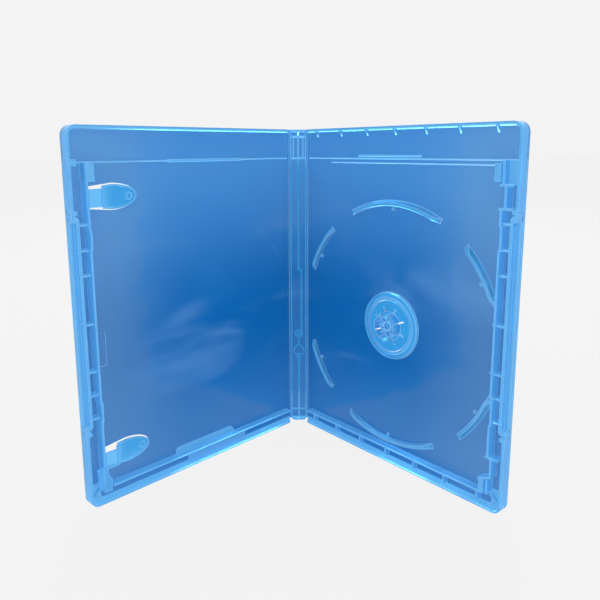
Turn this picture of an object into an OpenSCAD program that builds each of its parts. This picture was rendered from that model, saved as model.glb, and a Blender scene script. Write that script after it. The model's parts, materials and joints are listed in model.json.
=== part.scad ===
// Slim disc case moulded in clear blue polypropylene, standing open like a book.
// The origin is the centre of the spine's bottom end. The spine's back is towards +Y, and both covers
// stand out towards -Y.
// In a cover, u runs from the hinge axis to the open edge, v runs up, and n is the depth in from the outer face.

/* [Case] */
// Height of the case
case_h = 171.5; // [165:0.5:180]
// Width of a cover, from its hinge axis to the open edge
cover_w = 134; // [131:0.5:140]
// Thickness of the closed case, which is the width of the spine
case_t = 12.3; // [12:0.1:16]
// Wall of the covers and the spine
wall = 1.1; // [1:0.05:1.3]
// Radius of the two outer corners of a cover
corner_r = 4.5; // [3.5:0.5:7]
// Rounding along the outer edges
edge_r = 0.8; // [0.3:0.1:1]

/* [Opening] */
// Angle of the front cover from closed
front_angle = 43.9; // [10:0.1:90]
// Angle of the rear cover from closed
rear_angle = 40.6; // [10:0.1:90]

/* [Rims] */
// Gap between the two rims when the case is shut
shut_gap = 0.3; // [0.1:0.05:1]
// Thickness of the rim at its top
rim_t = 1.3; // [1:0.1:1.8]
// Height of the low rim beside the hinge
low_rim_h = 1.6; // [1.2:0.1:1.8]
// Rounding where the rim ends beside the hinge
rim_end_r = 2; // [0.5:0.1:3]
// Lower end of the thumb groove
groove_v0 = 40; // [30:1:55]
// Upper end of the thumb groove
groove_v1 = 131; // [115:1:135]
// Depth of the thumb groove, in from the open edge
groove_d = 2.1; // [1.6:0.1:3]
// Depth of the thumb groove's shelf below the rim
groove_drop = 2.6; // [1.8:0.1:3]
// Wall behind the thumb groove
groove_t = 1.3; // [1:0.1:1.8]

/* [Outer sleeve seat] */
// Height of the band above the seat of the printed sleeve
band_h = 15.6; // [10:0.1:25]
// Depth of the seat
seat_d = 0.3; // [0.1:0.05:0.4]

/* [Inner rails] */
// Distance of the side rail's outer face from the open edge
rail_gap = 7.6; // [6.5:0.1:9]
// Thickness of the rails
rail_t = 0.9; // [0.7:0.1:1.4]
// Height of the bottom rail above the bottom edge
rail_v = 7.2; // [6:0.1:10]
// Depth of the bottom rail's top below the rim
bottom_rail_drop = 1; // [0.3:0.1:2]
// Thickness of the cross ribs
rib_t = 0.9; // [0.6:0.1:1.4]
// Depth of the cross ribs' tops below the rim
rib_drop = 1.2; // [0.5:0.1:2.5]
// Distance between the ribs along the top and bottom edges
edge_rib_step = 18.5; // [14:0.5:24]
// Size of a top gusset
gusset = 2.4; // [1.5:0.1:3.5]

/* [Disc tray] */
// Disc centre from the hinge axis
disc_u = 64.5; // [64:0.1:68]
// Disc centre above the bottom edge
disc_v = 72.1; // [71:0.1:90]
// Radius of the disc
disc_r = 60; // [40:0.5:60]
// Gap from the disc's edge to the guard arcs
disc_gap = 1; // [0.5:0.1:1.5]
// Width of a guard arc at its foot
guard_w = 2.8; // [1.6:0.1:3]
// Level of a guard arc's top
guard_n = 3.7; // [2.5:0.1:5]
// Length of the slope at each end of a guard arc
guard_slope = 4.5; // [2:0.1:7]
// Radius of the small pips that carry the disc's edge
pip_r = 0.8; // [0.5:0.1:1.2]

/* [Hub] */
// Radius of the raised hub deck
deck_r = 17.4; // [16.8:0.1:20]
// Height of the hub deck above the panel
deck_rise = 1.5; // [0.8:0.1:1.8]
// Outer radius of the bead that the disc rests on
bead_out_r = 14.9; // [14.5:0.1:16]
// Width of that bead
bead_w = 1.5; // [0.8:0.1:1.8]
// Height of that bead above the deck
bead_h = 0.8; // [0.5:0.1:1.5]
// Clearance round the press button
press_gap = 0.25; // [0.2:0.05:0.5]
// Radius of the crown that grips the disc's hole
crown_r = 7.4; // [7:0.05:7.5]
// Straight height of the crown above the press button
crown_h = 3.4; // [2.5:0.1:4]
// Height of the rounded top of the crown
crown_cap = 1.1; // [0.5:0.1:1.5]
// Thickness of the crown's wall
crown_t = 2.2; // [1.6:0.1:2.4]
// Radius of the well in the middle of the crown
well_r = 1.8; // [1.2:0.1:2.2]
// Height of the raised edge round the well
well_h = 1.8; // [1:0.1:3]
// Thickness of the press button
press_t = 0.9; // [0.7:0.1:1.2]
// Number of fingers
fingers = 8; // [6:1:12]
// Width of the slots between the fingers
slot_w = 0.6; // [0.4:0.1:1]
// Radius that the slots reach
slot_r = 9.9; // [9:0.1:12]

/* [Booklet clips] */
// Centre of the upper clip above the bottom edge
clip_top_v = 140.8; // [137:0.1:145]
// Centre of the lower clip above the bottom edge
clip_low_v = 20.3; // [17:0.1:30]
// Length of a clip's window in the panel
window_l = 27.4; // [20:0.1:30]
// Width of a clip's window
window_w = 12; // [10:0.1:14]
// Gap between a clip's head and its window
clip_gap = 0.5; // [0.4:0.1:1.2]
// Width of a clip's arm
arm_w = 8; // [6:0.1:9]
// Length of a clip's arm
arm_l = 7; // [4:0.1:8]
// Thickness of a clip
clip_t = 0.9; // [0.7:0.1:1.2]
// Depth of an arm's top below the rim
arm_drop = 0.4; // [0.2:0.1:1.5]
// Level of a head's top
head_n = 2.5; // [2.2:0.1:3.2]
// Width of the raised border round a head
head_border = 0.7; // [0.5:0.1:1.2]
// Radius of the dimple near a head's tip
dimple_r = 1.2; // [0.8:0.1:1.6]

/* [Front cover's low pads] */
// Start of the pad beside the bottom rail, from the hinge axis
pad_u = 45; // [30:1:55]
// Length of that pad
pad_l = 39; // [20:1:50]
// Width of that pad
pad_w = 3.4; // [2:0.1:5]
// Start of the plate over the bottom channel, from the hinge axis
channel_plate_u = 40.5; // [30:0.5:55]
// Length of that plate
channel_plate_l = 38; // [20:0.5:50]
// Length of the pocket beside the side rail
pocket_l = 15.5; // [10:0.5:20]
// Width of the pocket
pocket_w = 4.8; // [3:0.1:6]

/* [Spine] */
// Gap from the spine's plate to a cover that is shut
plate_gap = 0.55; // [0.4:0.05:1]
// Depth of the spine's end caps
cap_d = 4.2; // [3:0.1:5]
// Thickness of the end caps
cap_t = 1.2; // [1:0.1:1.6]
// Rounding of the end caps' free corners
cap_r = 2.2; // [1:0.1:3]
// Height of the ribs on the spine
spine_rib_h = 0.9; // [0.5:0.1:1.2]
// Width of the spine's middle rib
spine_rib_w = 0.8; // [0.6:0.1:1.4]
// Distance of the lower ledge from the spine's bottom cap
ledge_in = 5; // [4:0.1:7]
// Distance of the upper ledge from the spine's top cap
top_ledge_in = 2.4; // [2:0.1:5]
// Outer radius of the ring on the spine
ring_r = 2.4; // [1.8:0.1:2.8]
// Height of the ring's centre above the bottom edge
ring_z = 53.3; // [40:0.1:70]
// Running clearance of the living hinges
hinge_gap = 0.05; // [0.03:0.01:0.08]

/* [Hidden] */
$fn = 64;
eps = 0.01;
blue = [0.16, 0.48, 0.86];
pale_blue = [0.4, 0.7, 0.96];
pin_r = wall / 2;
hinge_x = case_t / 2 - pin_r;
back_y = cap_d / 2;
rim_h = (case_t - shut_gap) / 2;
groove_n = rim_h - groove_drop;
bottom_rail_n = rim_h - bottom_rail_drop;
rib_n = rim_h - rib_drop;
arm_n = rim_h - arm_drop;
plate_x = case_t / 2 - wall - plate_gap;
cap_x = case_t / 2 - low_rim_h - 0.35;
web_t = 0.4;
seat_r = pin_r + hinge_gap;
rim_start = cap_d + 0.35 - pin_r;
rim_fillet = 0.8;
band_v = case_h - band_h;
rail_u = cover_w - rail_gap;
middle_v = case_h / 2;
side_rib_v = [-43.8, -32.8, -21.8, 0, 21.8, 32.8, 43.8];
side_ribs = [for (offset_v = side_rib_v) middle_v + offset_v];
edge_rib_count = floor((cover_w - corner_r - rail_gap) / edge_rib_step) + 1;
edge_ribs = [for (i = [0:edge_rib_count - 1]) edge_rib_step * (i + 0.5)];
bottom_rail_end = rail_u - 5;
guard_in = disc_r + disc_gap;
guard_spans = [[63, 117], [243, 297], [20, 47], [133, 160], [200, 227], [313, 340]];
pip_angles = [30, 90, 150, 210, 270, 330];
deck_n = wall + deck_rise;
press_r = bead_out_r - bead_w - press_gap;
press_n = deck_n + 0.1;
crown_n = press_n + crown_h;
crown_in_r = crown_r - crown_t;
well_out_r = well_r + 0.8;
jog = 1.8;
clip_vs = [clip_low_v, clip_top_v];
clip_root = rail_u - rail_t;
arm_u = clip_root - arm_l;
arm_cover = 4;
window_u1 = clip_root - 2.6;
window_u0 = window_u1 - window_l + arm_cover;
ring_in_r = ring_r - 0.7;
ring_pin_r = ring_in_r - 0.6;
lip_w = 0.5;
lip_x = plate_x - lip_w / 2;
ledge_z = [ledge_in + cap_t, case_h - top_ledge_in - cap_t];
column_x = 1.35;
column_w = 1.6;
frame_x = 2.8;
pin_knob_r = 1;
deck_round = 0.6;

// A box between two u, two v and two n values
module slab(u, v, n) {
    translate([u[0], -n[1], v[0]])
        cube([u[1] - u[0], n[1] - n[0], v[1] - v[0]]);
}

// An outline drawn in u and v, raised between two n values
module raised(n) {
    translate([0, -n[0], 0])
        rotate([90, 0, 0])
            linear_extrude(n[1] - n[0])
                children();
}

// Section of the rim: x is the distance in from the edge, y is n
module rim_section() {
    round_n = 6;
    outer_arc = [for (i = [0:round_n])
        [edge_r - edge_r * sin(90 * i / round_n), edge_r - edge_r * cos(90 * i / round_n)]];
    inner_arc = [for (i = [0:round_n])
        [rim_t + rim_fillet - rim_fillet * cos(90 * i / round_n),
         wall + rim_fillet - rim_fillet * sin(90 * i / round_n)]];
    polygon(concat(outer_arc, [[0, rim_h], [rim_t, rim_h]], inner_arc, [[corner_r, wall], [corner_r, 0]]));
}

// One quarter turn of the rim about a corner's centre
module rim_corner(turn) {
    rotate([90, 0, 0])
        rotate([0, 0, turn])
            rotate_extrude(angle = 90)
                translate([corner_r, 0])
                    mirror([1, 0])
                        rim_section();
}

// The rim along the bottom edge
module rim_bottom() {
    rotate([180, 0, 0])
        rotate([0, 90, 0])
            linear_extrude(cover_w - corner_r)
                rim_section();
}

// What is cut from the rim beside the hinge, so that it clears the spine's caps
module rim_end_cut() {
    depth = corner_r;
    for (v = [-1, case_h - depth])
        translate([0, 0, v])
            linear_extrude(depth + 1)
                difference() {
                    translate([-1, -rim_h - 1])
                        square([rim_start + rim_end_r + 1, rim_h + 1 - low_rim_h]);
                    translate([rim_start + rim_end_r, rim_end_r - rim_h])
                        circle(rim_end_r);
                    translate([rim_start, rim_end_r - rim_h])
                        square([rim_end_r + 1, rim_h]);
                }
}

// The open tray of a cover: its panel, its rim and its seat for the sleeve
module shell() {
    difference() {
        union() {
            slab([0, cover_w - corner_r], [corner_r, case_h - corner_r], [0, wall]);
            rim_bottom();
            translate([0, 0, case_h])
                mirror([0, 0, 1])
                    rim_bottom();
            translate([cover_w, 0, corner_r])
                rotate([0, 0, 180])
                    linear_extrude(case_h - 2 * corner_r)
                        rim_section();
            translate([cover_w - corner_r, 0, corner_r])
                rim_corner(-90);
            translate([cover_w - corner_r, 0, case_h - corner_r])
                rim_corner(0);
        }
        rim_end_cut();
        slab([3, cover_w - 2], [2, band_v], [-1, seat_d]);
        slab([cover_w - groove_d, cover_w + 1], [groove_v0, groove_v1], [groove_n, rim_h + 1]);
    }
    groove();
}

// The shelf and the set-back wall of the thumb groove
module groove() {
    inner_u = cover_w - groove_d - groove_t;
    shelf_t = wall;
    slab([inner_u, cover_w - rim_t + eps], [groove_v0, groove_v1], [groove_n - shelf_t, groove_n]);
    slab([inner_u, cover_w - groove_d], [groove_v0 - rim_t, groove_v1 + rim_t], [wall - eps, rim_h]);
    for (v = [groove_v0 - rim_t, groove_v1])
        slab([inner_u, cover_w - edge_r], [v, v + rim_t], [wall - eps, rim_h]);
}

// The round seat that turns on the spine's hinge bead
module hinge_seat() {
    translate([0, -pin_r, -1])
        cylinder(h = case_h + 2, r = seat_r);
}

// The side rail of a cover, which steps outwards where the other cover's clips need room
module side_rail(steps) {
    for (s = steps)
        slab([rail_u - rail_t + s[2], rail_u + s[2]], [s[0], s[1]], [wall - eps, rim_h]);
}

// The short ribs from the side rail to the wall behind the thumb groove
module side_rib_row() {
    for (v = side_ribs)
        slab([rail_u - eps, cover_w - groove_d - groove_t + eps], [v - rib_t / 2, v + rib_t / 2],
             [wall - eps, rib_n]);
}

// The gussets under the top rim
module top_gussets() {
    for (u = edge_ribs)
        translate([u - rib_t / 2, -wall, case_h - rim_t])
            rotate([0, 90, 0])
                linear_extrude(rib_t)
                    polygon([[-eps, eps], [-eps, -gusset], [gusset + 0.6, eps]]);
}

// The plate and the cross webs that stiffen the bottom corner
module corner_web() {
    foot = rim_t - eps;
    slab([rail_u + 0.4, cover_w - foot], [foot, 9], [wall - eps, wall + 0.8]);
    raised([wall, 3.6]) {
        polygon([[rail_u - 0.2, rail_v], [rail_u + 0.7, rail_v + 0.7], [cover_w - foot, foot + 0.9],
                 [cover_w - foot - 0.9, foot]]);
        polygon([[rail_u - 0.6, foot], [rail_u + 0.4, foot], [rail_u + 4, 4.6], [rail_u + 3.3, 5.2]]);
    }
}

// An outline like a leaf: a round nose towards the hinge and a slow taper to the root
module leaf(nose_u, root_u, half_w) {
    wide_u = nose_u + 0.56 * (root_u - nose_u);
    nose_l = wide_u - nose_u;
    steps = 18;
    root_w = half_w * 0.82;
    nose = [for (i = [-steps:steps])
        let (t = 90 * i / steps)
        [wide_u - nose_l * cos(t), half_w * sin(t)]];
    polygon(concat([[root_u, -root_w]], nose, [[root_u, root_w]]));
}

// The window that a booklet clip springs over
module clip_window(v) {
    translate([0, 0, v])
        raised([-1, wall + 1])
            leaf(window_u0, window_u1, window_w / 2);
}

// One booklet clip: an arm from the side rail, a ramp and a leaf-shaped head with a border and a dimple
module clip(v) {
    head_w = window_w / 2 - clip_gap;
    nose_u = window_u0 + clip_gap;
    ramp_l = 1.8;
    head_end = arm_u - ramp_l + 0.4;
    field_n = head_n - 0.3;
    field_end = arm_u - ramp_l - 0.7;
    slab([arm_u, clip_root + rail_t / 2], [v - arm_w / 2, v + arm_w / 2], [arm_n - clip_t, arm_n]);
    translate([0, 0, v - arm_w / 2])
        linear_extrude(arm_w)
            polygon([[arm_u + eps, -arm_n], [arm_u + eps, clip_t - arm_n - 0.3],
                     [arm_u - ramp_l + clip_t, clip_t - head_n], [arm_u - ramp_l, clip_t - head_n],
                     [arm_u - ramp_l, -head_n], [arm_u - ramp_l + clip_t - 0.4, -head_n]]);
    difference() {
        translate([0, 0, v])
            raised([head_n - clip_t, head_n])
                leaf_to(nose_u, head_w, head_end);
        translate([0, 0, v])
            raised([field_n, head_n + 1])
                leaf_to(nose_u + head_border, head_w - head_border, field_end);
    }
    translate([nose_u + 4, eps - field_n, v])
        rotate([90, 0, 0])
            difference() {
                cylinder(h = 0.4, r = dimple_r + 0.5, $fn = 32);
                translate([0, 0, 0.1])
                    cylinder(h = 1, r = dimple_r, $fn = 32);
            }
}

// The part of a leaf outline from its nose to a straight end
module leaf_to(nose_u, half_w, end_u) {
    intersection() {
        leaf(nose_u, window_u1, half_w);
        translate([nose_u - 1, -window_w])
            square([end_u - nose_u + 1, 2 * window_w]);
    }
}

// The notched block where the front cover's side rail meets the bottom rail
module corner_block() {
    hole_v = rail_v + 6.4;
    difference() {
        raised([rib_n - 1, rim_h])
            polygon([[rail_u - 3.3, rail_v - 1.8], [rail_u + 0.3, rail_v - 1.8], [rail_u + 2.4, rail_v + 1.6],
                     [rail_u + 2.8, rail_v + 9.6], [rail_u - 1.7, rail_v + 10.1], [rail_u - 2.1, rail_v + 6],
                     [rail_u - 3.7, rail_v + 4.1]]);
        slab([rail_u - 0.6, rail_u + 0.8], [hole_v, hole_v + 1.8], [wall + 1, rim_h + 1]);
    }
}

// The small round knobs past each end of the thumb groove
module groove_knobs() {
    for (v = [groove_v0 - 1.4, groove_v0 - 4.4, groove_v1 + 1.4, groove_v1 + 3.9])
        translate([cover_w - rim_t - 0.7, -wall + eps, v])
            rotate([90, 0, 0])
                cylinder(h = rim_h - wall - 0.2, r = pin_knob_r, $fn = 24);
}

// The small raised lines across a cover below the top band
module band_lines(bar_u, bar_v, bar_w) {
    slab([2, cover_w - rim_t], [band_v - 0.25, band_v + 0.25], [wall - eps, wall + 0.4]);
    slab(bar_u, [bar_v - bar_w / 2, bar_v + bar_w / 2], [wall - eps, wall + 0.5]);
}

// Everything of the front cover in its own frame
module front_shape() {
    top = clip_top_v;
    pad_n = wall + 0.6;
    pad_v = rail_v + pad_w;
    pad_end = pad_u + pad_l;
    pocket_u = rail_u - 2.3;
    pocket_v = middle_v - 6;
    difference() {
        union() {
            shell();
            side_rail([[rail_v + 1, side_ribs[0] - 2, 0], [side_ribs[0] - 2 - eps, side_ribs[1] - 4, -0.5],
                       [side_ribs[1] - 4 - eps, side_ribs[5], 0], [side_ribs[5] - eps, side_ribs[6] - 2, -0.5],
                       [side_ribs[6] - 2 - eps, band_v, 0]]);
            side_rib_row();
            slab([rim_start, bottom_rail_end], [rail_v - rail_t, rail_v], [wall - eps, bottom_rail_n]);
            slab([rail_u - 4, rail_u + eps], [top + arm_w / 2 + 3, band_v], [wall - eps, rim_h]);
            corner_block();
            // small hook on the top corner's rim
            slab([cover_w - rim_t - 2.6, cover_w - rim_t + eps], [band_v - 1.4, band_v + 1.4],
                 [wall - eps, rim_h - 0.4]);
            corner_web();
            band_lines([cover_w * 0.27, cover_w * 0.61], band_v, 1.2);
            // low pad beside the bottom rail
            raised([wall - eps, pad_n])
                polygon([[pad_u, rail_v - eps], [pad_u + 1, pad_v - 1.4], [pad_u + 3, pad_v],
                         [pad_end - 2, pad_v], [pad_end, pad_v - 1], [pad_end, rail_v - eps]]);
            // plate over the bottom channel
            slab([channel_plate_u, channel_plate_u + channel_plate_l], [rim_t - eps, rail_v - eps],
                 [rib_n - 0.6, rib_n + 0.4]);
            groove_knobs();
        }
        for (v = clip_vs)
            clip_window(v);
        hinge_seat();
        slab([-1, 0.02], [-1, case_h + 1], [-1, wall + 1]);
        // shallow pocket in the panel beside the rail
        slab([pocket_u - pocket_w, pocket_u], [pocket_v - pocket_l, pocket_v], [wall - 0.3, wall + 1]);
    }
    for (v = clip_vs)
        clip(v);
}

// One guard arc beside the disc's edge, with a sloping outer side and sloping ends
module guard(span) {
    end_n = wall - 0.4;
    translate([disc_u, 0, disc_v])
        rotate([90, 0, 0])
            difference() {
                rotate([0, 0, span[0]])
                    rotate_extrude(angle = span[1] - span[0])
                        polygon([[guard_in, wall - eps], [guard_in + guard_w, wall - eps],
                                 [guard_in + guard_w / 2 + 0.3, guard_n - 0.2], [guard_in + guard_w / 2, guard_n],
                                 [guard_in + 0.3, guard_n], [guard_in, guard_n - 0.3]]);
                for (end = [0, 1])
                    rotate([0, 0, span[end]])
                        mirror([0, end, 0])
                            translate([guard_in - 1, 0, 0])
                                rotate([90, 0, 90])
                                    linear_extrude(guard_w + 2)
                                        polygon([[-1, end_n], [guard_slope, guard_n + 0.1],
                                                 [guard_slope, guard_n + 1], [-1, guard_n + 1]]);
            }
}

// The raised deck round the hub, hollow underneath, with the bead that carries the disc
module hub_deck() {
    shoulder = deck_round * 0.3;
    translate([disc_u, 0, disc_v])
        rotate([90, 0, 0])
            rotate_extrude($fn = 96)
                polygon([[bead_out_r - bead_w, deck_n - wall], [deck_r - wall, deck_n - wall],
                         [deck_r - wall, 0], [deck_r, 0], [deck_r, deck_n - deck_round],
                         [deck_r - shoulder, deck_n - shoulder], [deck_r - deck_round, deck_n],
                         [bead_out_r, deck_n], [bead_out_r - 0.2, deck_n + bead_h - 0.2],
                         [bead_out_r - 0.4, deck_n + bead_h], [bead_out_r - bead_w + 0.2, deck_n + bead_h],
                         [bead_out_r - bead_w, deck_n + bead_h - 0.2]]);
}

// Everything of the rear cover in its own frame
module rear_shape() {
    low = clip_low_v;
    top = clip_top_v;
    half = arm_w / 2 + 0.9;
    difference() {
        union() {
            shell();
            side_rail([[rail_v + 8.6, low + half, jog], [low + half, side_ribs[0] - 1.6, 0],
                       [side_ribs[0] - 1.6 - eps, side_ribs[1], 0.6], [side_ribs[1] - eps, side_ribs[5], 0],
                       [side_ribs[5] - eps, side_ribs[6] - 1.2, 0.6], [side_ribs[6] - 1.2 - eps, top - half, 0],
                       [top - half, top + half, jog]]);
            side_rib_row();
            // ledges at the ends of the steps in the rail
            for (v = [low + half, top - half, top + half])
                slab([rail_u - rail_t - 0.7, rail_u + 4.6], [v - rib_t / 2, v + rib_t / 2],
                     [wall - eps, rim_h]);
            raised([wall - eps, rim_h])
                polygon([[rail_u - 5, rail_v + 6.6], [rail_u - 4.6, rail_v + 5.8],
                         [rail_u + jog, rail_v + 8.6], [rail_u + jog, rail_v + 9.6]]);
            // hooks in the two corners
            slab([rail_u - 4.2, rail_u - 1.4], [top + half + 1.4, band_v - 1.2], [wall - eps, rim_h]);
            slab([rail_u - 0.4, cover_w - rim_t + eps], [top + half, band_v], [wall - eps, wall + 1.2]);
            slab([rail_u - 0.4, rail_u + 0.5], [top + half, band_v], [wall - eps, rim_h]);
            slab([rail_u - 4.2, rail_u - 1.8], [rail_v, rail_v + 6.4], [wall - eps, rim_h]);
            slab([rail_u - 0.9, rail_u], [rail_v, rail_v + 6.8], [wall - eps, rim_h - 0.6]);
            slab([rim_start, bottom_rail_end + 1], [rail_v - rail_t, rail_v], [wall - eps, bottom_rail_n]);
            for (u = edge_ribs)
                slab([u - rib_t / 2, u + rib_t / 2], [rim_t - eps, rail_v - eps], [wall - eps, rib_n - 0.8]);
            top_gussets();
            corner_web();
            band_lines([cover_w * 0.3, cover_w * 0.6], band_v + 1.4, 0.9);
            slab([20, rail_u - 6], [band_v - 2.3, band_v - 1.9], [wall - eps, wall + 0.3]);
            groove_knobs();
            // stub ribs on the tray side of the rail
            for (v = [side_ribs[1], side_ribs[2], side_ribs[3], side_ribs[4] - 9.6])
                slab([rail_u - rail_t - 1.4, rail_u - rail_t + eps], [v - rib_t / 2, v + rib_t / 2],
                     [wall - eps, rib_n]);
            for (span = guard_spans)
                guard(span);
            for (a = pip_angles)
                translate([disc_u + (disc_r - 0.6) * cos(a), -wall + eps, disc_v + (disc_r - 0.6) * sin(a)])
                    rotate([90, 0, 0])
                        cylinder(h = 1, r = pip_r, $fn = 24);
        }
        hinge_seat();
        slab([-1, 0.02], [-1, case_h + 1], [-1, wall + 1]);
        translate([disc_u, 1, disc_v])
            rotate([90, 0, 0])
                cylinder(h = wall + 2, r = deck_r - wall / 2, $fn = 96);
    }
    hub_deck();
}

// The press button in the hub: a plate cut into fingers that carry the crown
module hub_shape() {
    cap_in = 1.4;
    floor_n = press_n + 0.4;
    well_n = press_n + well_h;
    rib_w = 0.9;
    translate([disc_u, 0, disc_v])
        rotate([90, 0, 0])
            difference() {
                union() {
                    rotate_extrude($fn = 96)
                        polygon([[0, press_n - press_t], [press_r, press_n - press_t],
                                 [press_r, press_n], [crown_r, press_n], [crown_r, crown_n],
                                 [crown_r - 0.5, crown_n + crown_cap * 0.7],
                                 [crown_r - cap_in, crown_n + crown_cap], [crown_in_r, crown_n],
                                 [crown_in_r, floor_n], [well_out_r, floor_n], [well_out_r, well_n],
                                 [well_r, well_n], [well_r, press_n], [0, press_n]]);
                    for (i = [0:fingers - 1])
                        rotate([0, 0, 360 / fingers * i]) {
                            // rib from the well to the finger
                            translate([well_out_r - 0.3, -rib_w / 2, floor_n - eps])
                                cube([crown_in_r - well_out_r + 0.6, rib_w, well_h]);
                        }
                }
                for (i = [0:fingers - 1])
                    rotate([0, 0, 360 / fingers * (i + 0.5)]) {
                        translate([well_out_r + 0.5, -slot_w / 2, floor_n])
                            cube([slot_r - well_out_r - 0.5, slot_w, crown_h + crown_cap]);
                        translate([crown_in_r + 0.5, -slot_w / 2, press_n - press_t - 1])
                            cube([slot_r - crown_in_r - 0.5, slot_w, press_t + 2]);
                    }
            }
}

// Puts a cover, drawn in its own frame, on the right-hand hinge
module on_hinge(angle) {
    translate([hinge_x, back_y - pin_r, 0])
        rotate([0, 0, angle - 90])
            translate([0, pin_r, 0])
                children();
}

// The spine: plate, hinge beads on thin webs, end caps, and the ribs and ring inside
module spine() {
    color(blue)
        translate([0, back_y, 0])
            spine_shape();
}

// Everything of the spine, with its back on the XZ plane
module spine_shape() {
    web_mid = (plate_x + hinge_x) / 2;
    web_half = (hinge_x - plate_x) / 2 + eps;
    difference() {
        slab([-plate_x, plate_x], [0, case_h], [0, wall]);
        slab([-plate_x + 0.6, plate_x - 0.6], [2, band_v], [-1, seat_d]);
        for (side = [-1, 1])
            slab([side * column_x - column_w / 2, side * column_x + column_w / 2],
                 [band_v + 1, ledge_z[1] - 0.5], [wall - 0.4, wall + 1]);
    }
    for (side = [-1, 1]) {
        slab([side * web_mid - web_half, side * web_mid + web_half], [0, case_h], [0.05, 0.05 + web_t]);
        translate([side * hinge_x, -pin_r, 0])
            cylinder(h = case_h, r = pin_r);
        slab([side * lip_x - lip_w / 2, side * lip_x + lip_w / 2], [cap_t - eps, case_h - cap_t + eps],
             [wall - eps, wall + 0.8]);
        slab([side * frame_x - 0.2, side * frame_x + 0.2], [band_v + 0.4 - eps, ledge_z[1]],
             [wall - eps, wall + 0.4]);
    }
    end_cap(ledge_in);
    translate([0, 0, case_h])
        mirror([0, 0, 1])
            end_cap(top_ledge_in);
    for (z = ledge_z)
        slab([-lip_x, lip_x], [z - 0.4, z + 0.4], [wall - eps, wall + 0.8]);
    slab([-lip_x, lip_x], [band_v - 0.4, band_v + 0.4], [wall - eps, wall + 0.7]);
    spine_ribs();
    spine_ring();
}

// One end cap of the spine with its rounded corners and its gusset
module end_cap(gusset_l) {
    linear_extrude(cap_t)
        union() {
            translate([-cap_x, -cap_d + cap_r])
                square([2 * cap_x, cap_d - cap_r]);
            translate([-cap_x + cap_r, -cap_d])
                square([2 * (cap_x - cap_r), cap_r + eps]);
            for (side = [-1, 1])
                translate([side * (cap_x - cap_r), -cap_d + cap_r])
                    circle(cap_r);
        }
    translate([-rail_t / 2, 0, 0])
        rotate([90, 0, 90])
            linear_extrude(rail_t)
                polygon([[-wall + eps, cap_t - eps], [-cap_d + 0.5, cap_t - eps],
                         [-wall - 0.5, gusset_l + cap_t], [-wall + eps, gusset_l + cap_t]]);
}

// The ribs that run along the inside of the spine
module spine_ribs() {
    jog_x = 1.6;
    mid_z = 91.5;
    foot_z = ring_z - 14.4;
    half_w = spine_rib_w / 2;
    rib_top = [wall - eps, wall + spine_rib_h];
    slab([-half_w, half_w], [mid_z, ledge_z[1]], rib_top);
    slab([jog_x - half_w, jog_x + half_w], [ring_z + 1.6, mid_z + 1], rib_top);
    slab([-half_w, jog_x + half_w], [mid_z, mid_z + 1], rib_top);
    slab([-half_w * 0.8, half_w * 0.8], [ring_z - 6.6, ring_z], rib_top);
    slab([-half_w * 1.2, half_w * 1.2], [ledge_z[0], foot_z], rib_top);
    slab([-3, 3], [foot_z + 1.7, foot_z + 2.2], rib_top);
    translate([0, -wall + eps, foot_z])
        rotate([90, 0, 0])
            cylinder(h = spine_rib_h, r = 1.3, $fn = 32);
    // arched gusset under the ring
    raised(rib_top)
        for (side = [-1, 1])
            polygon([[0, ring_z - 7], [0, ring_z - 6.1], [side * 1.7, ring_z - 7.3], [side * 2.8, ring_z - 8.9],
                     [side * 3.5, ring_z - 11], [side * 2.9, ring_z - 11], [side * 2.3, ring_z - 9.3],
                     [side * 1.3, ring_z - 7.9]]);
}

// The ring with a pin inside, in the middle of the spine
module spine_ring() {
    translate([0, -wall + eps, ring_z])
        rotate([90, 0, 0]) {
            difference() {
                cylinder(h = spine_rib_h + 0.1, r = ring_r);
                translate([0, 0, -1])
                    cylinder(h = spine_rib_h + 3, r = ring_in_r);
                translate([-1, -ring_r - 1, -1])
                    cube([2, ring_r, spine_rib_h + 3]);
            }
            cylinder(h = spine_rib_h + 0.4, r = ring_pin_r);
        }
}

module front_cover() {
    color(blue)
        mirror([1, 0, 0])
            on_hinge(front_angle)
                front_shape();
}

module rear_cover() {
    color(blue)
        on_hinge(rear_angle)
            rear_shape();
}

module hub_button() {
    color(pale_blue)
        on_hinge(rear_angle)
            hub_shape();
}

spine();
front_cover();
rear_cover();
hub_button();
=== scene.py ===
import json
import math
import bpy
from mathutils import Matrix, Vector


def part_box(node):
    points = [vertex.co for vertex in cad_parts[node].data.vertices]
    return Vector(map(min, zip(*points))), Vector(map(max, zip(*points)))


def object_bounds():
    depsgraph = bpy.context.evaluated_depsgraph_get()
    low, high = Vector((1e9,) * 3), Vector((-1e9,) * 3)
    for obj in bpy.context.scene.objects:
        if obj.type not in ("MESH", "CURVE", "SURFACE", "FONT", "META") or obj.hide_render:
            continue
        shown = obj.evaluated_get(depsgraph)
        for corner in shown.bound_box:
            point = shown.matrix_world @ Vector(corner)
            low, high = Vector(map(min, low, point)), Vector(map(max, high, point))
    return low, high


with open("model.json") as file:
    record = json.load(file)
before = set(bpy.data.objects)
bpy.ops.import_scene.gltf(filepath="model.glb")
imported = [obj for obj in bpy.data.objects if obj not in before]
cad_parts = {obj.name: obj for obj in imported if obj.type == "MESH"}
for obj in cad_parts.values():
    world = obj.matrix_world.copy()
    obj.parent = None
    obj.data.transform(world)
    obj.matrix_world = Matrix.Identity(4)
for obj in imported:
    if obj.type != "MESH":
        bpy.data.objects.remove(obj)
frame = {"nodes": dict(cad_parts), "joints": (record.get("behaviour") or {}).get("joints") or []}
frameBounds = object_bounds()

print("frame loaded:", ", ".join(sorted(frame["nodes"])))

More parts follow.
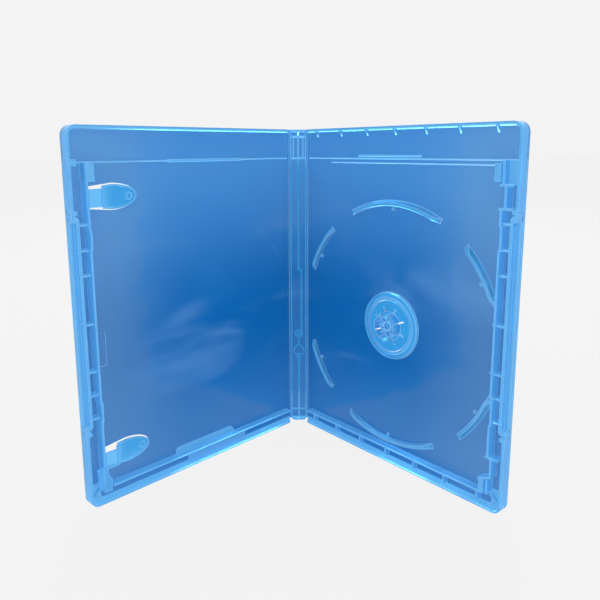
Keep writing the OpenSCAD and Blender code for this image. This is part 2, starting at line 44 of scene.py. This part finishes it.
joints = {joint["name"]: joint for joint in frame["joints"]}
hingeAxis = {side: Vector(joints[side + "_hinge"]["pos_m"]) for side in ("front", "rear")}
openAngle = {  # from shut, in degrees
    "front": joints["front_hinge"]["range_deg"][1],
    "rear": -joints["rear_hinge"]["range_deg"][0],
}
caseLow, caseHigh = (Vector(corner) for corner in frameBounds)


# Camera, placed where the photo was taken
camera = {
    "place": (-0.0008403, -0.3572435, 0.1609426),
    "yaw": -0.0132205,
    "tilt": 0.1854530,  # downwards
    "roll": -0.0066019,
    "focal": 626.132,  # in pixels of a 600 pixel frame
    "centre": (288.895, 266.479),  # pixel that the lens points at
    "frame": 600,
    "sensor": 36,  # mm
    "reach": (0.01, 50),  # nearest and farthest distance that it sees
}


def addCamera(values):
    yaw, tilt, roll = values["yaw"], values["tilt"], values["roll"]
    ahead = Vector((math.sin(yaw) * math.cos(tilt), math.cos(yaw) * math.cos(tilt), -math.sin(tilt)))
    right = Vector((math.cos(yaw), -math.sin(yaw), 0))
    up = right.cross(ahead)
    rolledRight = right * math.cos(roll) + up * math.sin(roll)
    rolledUp = up * math.cos(roll) - right * math.sin(roll)
    bpy.ops.object.camera_add(location=values["place"])
    photographer = bpy.context.object
    photographer.name = "photographer"
    turn = Matrix((rolledRight, rolledUp, -ahead)).transposed()
    photographer.rotation_euler = turn.to_euler()
    lens = photographer.data
    size = values["frame"]
    lens.sensor_width = values["sensor"]
    lens.lens = values["sensor"] * values["focal"] / size
    lens.shift_x = 0.5 - values["centre"][0] / size
    lens.shift_y = values["centre"][1] / size - 0.5
    lens.clip_start, lens.clip_end = values["reach"]
    bpy.context.scene.camera = photographer


addCamera(camera)
print("camera placed")


# Nodes that the studio and the plastic both use
def mathNode(nodes, operation, *values):
    node = nodes.new("ShaderNodeMath")
    node.operation = operation
    for index, value in enumerate(values):
        if value is not None:
            node.inputs[index].default_value = value
    return node


def largestOf(nodes, links, results):
    largest = results[0]
    for result in results[1:]:
        larger = mathNode(nodes, "MAXIMUM")
        links.new(largest, larger.inputs[0])
        links.new(result, larger.inputs[1])
        largest = larger.outputs[0]
    return largest


def addRamp(nodes, links, source, start=0.0, end=1.0, low=0.0, high=1.0):
    # low up to the start, high from the end on
    ramp = nodes.new("ShaderNodeMapRange")
    ramp.inputs["From Min"].default_value = start
    ramp.inputs["From Max"].default_value = end
    ramp.inputs["To Min"].default_value = low
    ramp.inputs["To Max"].default_value = high
    links.new(source, ramp.inputs["Value"])
    return ramp


# Studio: pale floor and backdrop, and four soft lamps
studio = {
    "backdrop": (0.896, 0.896, 0.896, 1),
    "roomSide": 0.2,  # share of the backdrop's tone that gloss sees behind the camera
    "roomRange": (-0.35, 0.6),  # that tone rises to the full one between these parts of a ray's Y
    "skyLight": 1.0,  # what the world sends to matt surfaces
    "floorSize": 12.0,
    "floorFront": -0.55,  # the floor starts here and runs back
    "floorGap": 0.0001,  # below the case's foot
    "floorColour": (0.86, 0.86, 0.86, 1),
    "floorTone": (0.89, 0.89, 0.89, 1),
    "floorGlow": 0.97,  # share of that plain tone on the floor
    "floorGloss": 0.6,  # share of the tone that gloss sees
    "lamps": [
        # name, place, size, watts
        ("lampLeft", (-1.1, -1.0, 1.0), 1.2, 2.5),
        ("lampRight", (0.9, -1.2, 1.2), 1.2, 3.0),
        ("lampTop", (0.15, 0.1, 1.4), 1.2, 7.0),
        ("lampBack", (0.08, 0.95, 0.9), 0.7, 12.0),
    ],
}


def seenDirectly(nodes, links):
    # 1 for rays from the camera, through clear plastic or off a glossy face
    path = nodes.new("ShaderNodeLightPath")
    rays = ("Is Camera Ray", "Is Glossy Ray", "Is Transmission Ray")
    return largestOf(nodes, links, [path.outputs[ray] for ray in rays])


def buildWorld(values):
    world = bpy.data.worlds.new("studioWorld")
    bpy.context.scene.world = world
    world.use_nodes = True
    nodes, links = world.node_tree.nodes, world.node_tree.links
    nodes.clear()
    light = nodes.new("ShaderNodeBackground")
    light.inputs["Strength"].default_value = values["skyLight"]
    plain = nodes.new("ShaderNodeBackground")
    plain.inputs["Color"].default_value = values["backdrop"]
    direction = nodes.new("ShaderNodeTexCoord")
    split = nodes.new("ShaderNodeSeparateXYZ")
    links.new(direction.outputs["Generated"], split.inputs[0])
    # dims the side that the covers open to
    tone = addRamp(nodes, links, split.outputs["Y"], *values["roomRange"], low=values["roomSide"])
    path = nodes.new("ShaderNodeLightPath")
    strength = nodes.new("ShaderNodeMix")
    strength.inputs[2].default_value = 1.0  # a mix of numbers has its two at 2 and 3
    links.new(path.outputs["Is Glossy Ray"], strength.inputs[0])
    links.new(tone.outputs["Result"], strength.inputs[3])
    links.new(strength.outputs[0], plain.inputs["Strength"])
    mix = nodes.new("ShaderNodeMixShader")
    links.new(seenDirectly(nodes, links), mix.inputs[0])
    links.new(light.outputs[0], mix.inputs[1])
    links.new(plain.outputs[0], mix.inputs[2])
    out = nodes.new("ShaderNodeOutputWorld")
    links.new(mix.outputs[0], out.inputs["Surface"])


def floorMaterial(values):
    material = bpy.data.materials.new("paleFloor")
    material.use_nodes = True
    nodes, links = material.node_tree.nodes, material.node_tree.links
    nodes.clear()
    matt = nodes.new("ShaderNodeBsdfDiffuse")
    matt.inputs["Color"].default_value = values["floorColour"]
    plain = nodes.new("ShaderNodeEmission")
    plain.inputs["Color"].default_value = values["floorTone"]
    path = nodes.new("ShaderNodeLightPath")
    reflected = mathNode(nodes, "SUBTRACT")  # leaves out what is seen through clear plastic
    links.new(path.outputs["Is Glossy Ray"], reflected.inputs[0])
    links.new(path.outputs["Is Transmission Ray"], reflected.inputs[1])
    dimmed = addRamp(nodes, links, reflected.outputs[0], low=1.0, high=values["floorGloss"])
    links.new(dimmed.outputs["Result"], plain.inputs["Strength"])
    share = mathNode(nodes, "MULTIPLY", None, values["floorGlow"])
    links.new(seenDirectly(nodes, links), share.inputs[0])
    mix = nodes.new("ShaderNodeMixShader")
    links.new(share.outputs[0], mix.inputs[0])
    links.new(matt.outputs[0], mix.inputs[1])
    links.new(plain.outputs[0], mix.inputs[2])
    out = nodes.new("ShaderNodeOutputMaterial")
    links.new(mix.outputs[0], out.inputs["Surface"])
    return material


def buildFloor(values):
    bpy.ops.object.select_all(action="DESELECT")
    size = values["floorSize"]
    place = (0, values["floorFront"] + size / 2, caseLow.z - values["floorGap"])
    bpy.ops.mesh.primitive_plane_add(size=size, location=place)
    floor = bpy.context.object
    floor.name = "floor"
    floor.data.materials.append(floorMaterial(values))


def buildLamps(values):
    target = (caseLow + caseHigh) / 2
    for name, place, size, watts in values["lamps"]:
        bpy.ops.object.light_add(type="AREA", location=place)
        lamp = bpy.context.object
        lamp.name = name
        lamp.data.size = size
        lamp.data.energy = watts
        lamp.rotation_euler = (target - Vector(place)).to_track_quat("-Z", "Y").to_euler()


buildFloor(studio)
buildWorld(studio)
buildLamps(studio)
bpy.context.scene.view_settings.view_transform = "Standard"
print("studio built")


# Clear blue plastic, moulded glossy
plastic = {
    "deepBlue": (0.005, 0.19, 0.60, 1),  # the middle of the panels
    "paintedLitBlue": (0.10, 0.40, 0.88, 1),  # painted light: their top and foot are painted lighter, to this
    "paintedLitSideBlue": (0.30, 0.58, 0.90, 1),  # and their open edge is painted towards this, also painted light
    "hazeBlue": (0.12, 0.36, 0.78, 1),  # cloudy patches
    "fades": {  # heights or widths between which painted light lightens a panel's blue, and by what share
        "Top": (0.075, 0.165, 1.0),
        "Low": (0.065, 0.005, 0.4),
        "Side": (0.065, 0.135, 0.28),
    },
    "paintedRimLightBlue": (0.15, 0.50, 0.86, 1),  # painted light: rims, rails and walls along a cover's free sides are painted this paler blue
    "paintedMiddleLightBlue": (0.05, 0.40, 0.84, 1),  # the same painted light on the spine, the hub and the guard arcs
    "wall": 0.0011,  # the panels end at this depth
    "wallMargin": 0.0001,  # and are painted paler from this much deeper, as painted light
    "edgeDepth": 0.0017,  # to this depth
    "wallSlope": (0.9, 0.4, 1.0),  # part of the normal along the depth: flat, a wall, and how pale a wall is painted, as painted light
    "freeSides": {"Side": (0.112, 0.12), "Low": (0.02, 0.012), "High": (0.15, 0.157)},
    "paintedEdgeGlow": (0.09, 0.31, 0.48, 1),  # painted glow: emission standing in for light that runs inside the plastic and leaves at its walls
    "paintedMiddleGlow": (0.02, 0.16, 0.26, 1),
    "paintedEdgeGlint": (0.36, 0.70, 1.0, 1),  # and painted glints of it at its corners
    "paintedMiddleGlint": (0.65, 0.95, 1.0, 1),
    "paintedGlowStrength": 0.3,  # how strong this painted glow and these painted glints are
    "paintedCornerHighlight": (0.30, 0.72, 1.0, 1),  # painted highlights: thin light lines where faces meet
    "cornerRound": 0.00035,  # about half as wide as a line
    "cornerRange": (0.02, 0.20),  # turn of the normal at which a line starts and is full
    "cornerSamples": 4,
    "transmission": 0.68,
    "ior": 1.49,
    "roughness": (0.05, 0.14),  # smooth patches, hazy patches
    "waveSize": 28.0,  # waves per metre
    "waveHeight": 0.0016,
    "waveDetail": (1.0, 0.4),  # octaves, and how much each adds
    "hazeSize": 11.0,  # patches per metre
    "hazeDetail": (3.0, 0.6),  # octaves, and how much they are distorted
    "hazeShare": 1.0,
    "hazeRange": (0.52, 0.78),  # noise at which a patch starts and is full
    "hazeStretch": (1.0, 1.0, 2.6),  # makes the patches lie across the covers
}


# The rear cover, whose guard arcs get white painted glints and a stronger painted glow
rearPlastic = {
    "cornerRange": (0.01, 0.12),
    "paintedMiddleGlint": (1.0, 1.0, 1.0, 1),
    "paintedMiddleGlow": (0.05, 0.24, 0.36, 1),
}


# The hub, with wider rounded corners, smoother patches, and near-white painted glints on its many small
# edges
hubPlastic = {
    "cornerRound": 0.0005,
    "cornerRange": (0.03, 0.12),
    "paintedMiddleGlint": (0.9, 1.0, 1.0, 1),
    "roughness": (0.03, 0.08),
}


# The spine, where the painted paleness is a deeper blue and the painted glints are dimmer
spinePlastic = {
    "paintedMiddleLightBlue": (0.0, 0.30, 0.78, 1),
    "paintedMiddleGlint": (0.05, 0.42, 0.90, 1),
    "paintedEdgeGlint": (0.15, 0.50, 0.90, 1),
}


def placeSettings(places):
    # settings for a group whose inputs are named by a place, such as Side From, Side To and Side Share
    settings = {}
    for name, values in places.items():
        for part, value in zip(("From", "To", "Share"), values):
            settings[name + " " + part] = value
    return settings


def newGroup(name, vectors, numbers, outputs):
    group = bpy.data.node_groups.new(name, "ShaderNodeTree")
    for socketName in vectors:
        group.interface.new_socket(name=socketName, in_out="INPUT", socket_type="NodeSocketVector")
    for socketName in numbers:
        group.interface.new_socket(name=socketName, in_out="INPUT", socket_type="NodeSocketFloat")
    for socketName, kind in outputs.items():
        group.interface.new_socket(name=socketName, in_out="OUTPUT", socket_type="NodeSocket" + kind)
    nodes = group.nodes
    return group, nodes, group.links, nodes.new("NodeGroupInput"), nodes.new("NodeGroupOutput")


def placeRamp(nodes, links, entry, name, source, interpolation="SMOOTHSTEP"):
    # rises from 0 between the group's From and To inputs of that name, up to its Share where it has one
    ramp = nodes.new("ShaderNodeMapRange")
    ramp.interpolation_type = interpolation
    links.new(source, ramp.inputs["Value"])
    links.new(entry.outputs[name + " From"], ramp.inputs["From Min"])
    links.new(entry.outputs[name + " To"], ramp.inputs["From Max"])
    if name + " Share" in entry.outputs:
        links.new(entry.outputs[name + " Share"], ramp.inputs["To Max"])
    return ramp.outputs["Result"]


def heightAndWidth(nodes, links, entry):
    # height above the foot, and distance from the hinge to either side
    split = nodes.new("ShaderNodeSeparateXYZ")
    links.new(entry.outputs["Vector"], split.inputs[0])
    width = mathNode(nodes, "ABSOLUTE")
    links.new(split.outputs["X"], width.inputs[0])
    return split.outputs["Z"], width.outputs[0]


def makeEdgeGroup():
    # 0 on the flat panels, 1 on the rims, the rails and every wall that stands up from a panel, where
    # painted light makes the plastic paler
    numbers = ["Depth From", "Depth To", "Wall From", "Wall To", "Wall Share"]
    group, nodes, links, entry, leave = newGroup(
        "paintedWallLight", ["Vector", "Facing"], numbers, {"Paleness": "Float"})
    split = nodes.new("ShaderNodeSeparateXYZ")
    links.new(entry.outputs["Vector"], split.inputs[0])
    depth = mathNode(nodes, "MULTIPLY", None, -1.0)
    links.new(split.outputs["Y"], depth.inputs[0])
    facing = nodes.new("ShaderNodeSeparateXYZ")
    links.new(entry.outputs["Facing"], facing.inputs[0])
    flat = mathNode(nodes, "ABSOLUTE")
    links.new(facing.outputs["Y"], flat.inputs[0])
    raised = placeRamp(nodes, links, entry, "Depth", depth.outputs[0])
    steep = placeRamp(nodes, links, entry, "Wall", flat.outputs[0], "LINEAR")
    links.new(largestOf(nodes, links, [raised, steep]), leave.inputs["Paleness"])
    return group


def makeRegionGroup():
    # 1 along a cover's three free sides, which get the stronger painted glow and the paler painted
    # light
    places = plastic["freeSides"]
    group, nodes, links, entry, leave = newGroup(
        "freeSides", ["Vector"], placeSettings(places), {"Share": "Float"})
    height, width = heightAndWidth(nodes, links, entry)
    sides = [placeRamp(nodes, links, entry, name, width if name == "Side" else height, "LINEAR")
             for name in places]
    links.new(largestOf(nodes, links, sides), leave.inputs["Share"])
    return group


def makeFadeGroup():
    # painted light: a panel's blue is painted lighter at its top, at its foot and towards its open
    # edge, standing in for the room's light
    group, nodes, links, entry, leave = newGroup(
        "coverPaintedLight", ["Vector"], placeSettings(plastic["fades"]),
        {"Lightness": "Float", "Paleness": "Float"})
    height, width = heightAndWidth(nodes, links, entry)
    ends = [placeRamp(nodes, links, entry, name, height) for name in ("Top", "Low")]
    links.new(largestOf(nodes, links, ends), leave.inputs["Lightness"])
    links.new(placeRamp(nodes, links, entry, "Side", width), leave.inputs["Paleness"])
    return group


def makeFlowGroup():
    # the slow waves and the cloudy haze that a large thin moulding has
    group, nodes, links, entry, leave = newGroup(
        "mouldFlow", ["Vector", "Haze Stretch"], ["Wave Scale", "Haze Scale"],
        {"Height": "Float", "Haze": "Float"})
    wave = nodes.new("ShaderNodeTexNoise")
    wave.inputs["Detail"].default_value, wave.inputs["Roughness"].default_value = plastic["waveDetail"]
    links.new(entry.outputs["Vector"], wave.inputs["Vector"])
    links.new(entry.outputs["Wave Scale"], wave.inputs["Scale"])
    haze = nodes.new("ShaderNodeTexNoise")
    haze.inputs["Detail"].default_value, haze.inputs["Distortion"].default_value = plastic["hazeDetail"]
    drawn = nodes.new("ShaderNodeVectorMath")
    drawn.operation = "MULTIPLY"
    links.new(entry.outputs["Vector"], drawn.inputs[0])
    links.new(entry.outputs["Haze Stretch"], drawn.inputs[1])
    links.new(drawn.outputs["Vector"], haze.inputs["Vector"])
    links.new(entry.outputs["Haze Scale"], haze.inputs["Scale"])
    links.new(wave.outputs["Fac"], leave.inputs["Height"])
    links.new(haze.outputs["Fac"], leave.inputs["Haze"])
    return group


def makeCornerGroup():
    # 1 on a thin line along each corner, where painted highlights and painted glints go, and the normal
    # that rounds the corner
    group, nodes, links, entry, leave = newGroup(
        "cornerLines", [], ["Radius", "Turn From", "Turn To"], {"Line": "Float", "Normal": "Vector"})
    corner = nodes.new("ShaderNodeBevel")
    corner.samples = plastic["cornerSamples"]
    links.new(entry.outputs["Radius"], corner.inputs["Radius"])
    surface = nodes.new("ShaderNodeNewGeometry")
    align = nodes.new("ShaderNodeVectorMath")
    align.operation = "DOT_PRODUCT"
    links.new(corner.outputs["Normal"], align.inputs[0])
    links.new(surface.outputs["Normal"], align.inputs[1])
    turned = mathNode(nodes, "SUBTRACT", 1.0)
    links.new(align.outputs["Value"], turned.inputs[1])
    line = placeRamp(nodes, links, entry, "Turn", turned.outputs[0], "LINEAR")
    links.new(line, leave.inputs["Line"])
    links.new(corner.outputs["Normal"], leave.inputs["Normal"])
    return group


edgeGroup = makeEdgeGroup()
regionGroup = makeRegionGroup()
fadeGroup = makeFadeGroup()
flowGroup = makeFlowGroup()
cornerGroup = makeCornerGroup()
noLight = (0, 0, 0, 1)


def mixColour(nodes, links, share, first, second):
    # first and second are colours or outputs of other nodes
    node = nodes.new("ShaderNodeMix")
    node.data_type = "RGBA"
    links.new(share, node.inputs[0])
    for index, colour in ((6, first), (7, second)):  # a mix of colours has its two at 6 and 7
        if isinstance(colour, tuple):
            node.inputs[index].default_value = colour
        else:
            links.new(colour, node.inputs[index])
    return node.outputs[2]


def addGroup(nodes, links, group, settings, place=None):
    node = nodes.new("ShaderNodeGroup")
    node.node_tree = group
    for name, value in settings.items():
        node.inputs[name].default_value = value
    if place is not None:
        links.new(place, node.inputs["Vector"])
    return node


def ownFrame(nodes, links, source, turn, origin=(0, 0, 0)):
    # turns a place or a direction into the piece's own frame, where -Y is the depth
    mapping = nodes.new("ShaderNodeMapping")
    mapping.vector_type = "TEXTURE"
    mapping.inputs["Location"].default_value = origin
    mapping.inputs["Rotation"].default_value = (0, 0, turn)
    links.new(source, mapping.inputs["Vector"])
    return mapping.outputs["Vector"]


def panelColour(nodes, links, local, haze, values):
    # the panel's own blue, with painted light at its top, foot and open edge, and random cloudy patches
    fade = addGroup(nodes, links, fadeGroup, placeSettings(values["fades"]), local)
    panel = mixColour(nodes, links, fade.outputs["Lightness"], values["deepBlue"], values["paintedLitBlue"])
    outer = mixColour(nodes, links, fade.outputs["Paleness"], panel, values["paintedLitSideBlue"])
    cloud = addRamp(nodes, links, haze, *values["hazeRange"], high=values["hazeShare"])
    cloud.interpolation_type = "SMOOTHSTEP"
    return mixColour(nodes, links, cloud.outputs["Result"], outer, values["hazeBlue"])


def clearBlue(name, origin, turn, values):
    material = bpy.data.materials.new(name)
    material.use_nodes = True
    nodes, links = material.node_tree.nodes, material.node_tree.links
    shader = nodes["Principled BSDF"]
    coordinates = nodes.new("ShaderNodeTexCoord")
    local = ownFrame(nodes, links, coordinates.outputs["Object"], turn, origin)
    facing = ownFrame(nodes, links, coordinates.outputs["Normal"], turn)

    depths = (values["wall"] + values["wallMargin"], values["edgeDepth"])
    edgeSettings = placeSettings({"Depth": depths, "Wall": values["wallSlope"]})
    edge = addGroup(nodes, links, edgeGroup, edgeSettings, local)
    links.new(facing, edge.inputs["Facing"])
    region = addGroup(nodes, links, regionGroup, placeSettings(values["freeSides"]), local)
    flow = addGroup(nodes, links, flowGroup, {
        "Wave Scale": values["waveSize"],
        "Haze Scale": values["hazeSize"],
        "Haze Stretch": values["hazeStretch"],
    }, local)
    corner = addGroup(nodes, links, cornerGroup, {
        "Radius": values["cornerRound"],
        "Turn From": values["cornerRange"][0],
        "Turn To": values["cornerRange"][1],
    })

    def byPlace(inMiddle, alongSides):
        return mixColour(nodes, links, region.outputs["Share"], values[inMiddle], values[alongSides])

    paleness, line = edge.outputs["Paleness"], corner.outputs["Line"]
    panel = panelColour(nodes, links, local, flow.outputs["Haze"], values)
    # painted light: rims, rails and walls painted paler than the panels
    pale = mixColour(nodes, links, paleness, panel, byPlace("paintedMiddleLightBlue", "paintedRimLightBlue"))
    # painted highlights: light lines along each corner, in the base colour
    lined = mixColour(nodes, links, line, pale, values["paintedCornerHighlight"])
    links.new(lined, shader.inputs["Base Color"])
    # painted glow: emission on rims and walls, though the plastic is no lamp
    paintedGlowColour = mixColour(nodes, links, paleness, noLight, byPlace("paintedMiddleGlow", "paintedEdgeGlow"))
    # painted glints along each corner, as emission
    glint = mixColour(nodes, links, line, paintedGlowColour, byPlace("paintedMiddleGlint", "paintedEdgeGlint"))
    links.new(glint, shader.inputs["Emission Color"])

    smooth, hazy = values["roughness"]
    rough = addRamp(nodes, links, flow.outputs["Haze"], low=smooth, high=hazy)
    links.new(rough.outputs["Result"], shader.inputs["Roughness"])
    bump = nodes.new("ShaderNodeBump")
    bump.inputs["Distance"].default_value = values["waveHeight"]
    links.new(flow.outputs["Height"], bump.inputs["Height"])
    links.new(corner.outputs["Normal"], bump.inputs["Normal"])
    links.new(bump.outputs["Normal"], shader.inputs["Normal"])

    shader.inputs["Emission Strength"].default_value = values["paintedGlowStrength"]
    shader.inputs["Transmission Weight"].default_value = values["transmission"]
    shader.inputs["IOR"].default_value = values["ior"]
    return material


def coverPlace(side):
    # where a cover's outer face meets its hinge line, and how far the cover is turned from lying flat
    sign = 1 if side == "rear" else -1
    turn = math.radians(openAngle[side] - 90)
    halfWall = plastic["wall"] / 2
    hinge = hingeAxis[side]
    origin = (hinge.x - sign * math.sin(turn) * halfWall, hinge.y + math.cos(turn) * halfWall, 0)
    return origin, sign * turn


def dress(node, material):
    piece = frame["nodes"][node]
    piece.data.materials.clear()
    piece.data.materials.append(material)


rearOrigin, rearTurn = coverPlace("rear")
frontOrigin, frontTurn = coverPlace("front")
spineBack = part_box("spine")[1].y
dress("rear_cover", clearBlue("rearCoverPlastic", rearOrigin, rearTurn, dict(plastic, **rearPlastic)))
dress("hub_button", clearBlue("hubPlastic", rearOrigin, rearTurn, dict(plastic, **hubPlastic)))
dress("front_cover", clearBlue("frontCoverPlastic", frontOrigin, frontTurn, plastic))
dress("spine", clearBlue("spinePlastic", (0, spineBack, 0), 0, dict(plastic, **spinePlastic)))
print("plastic made")
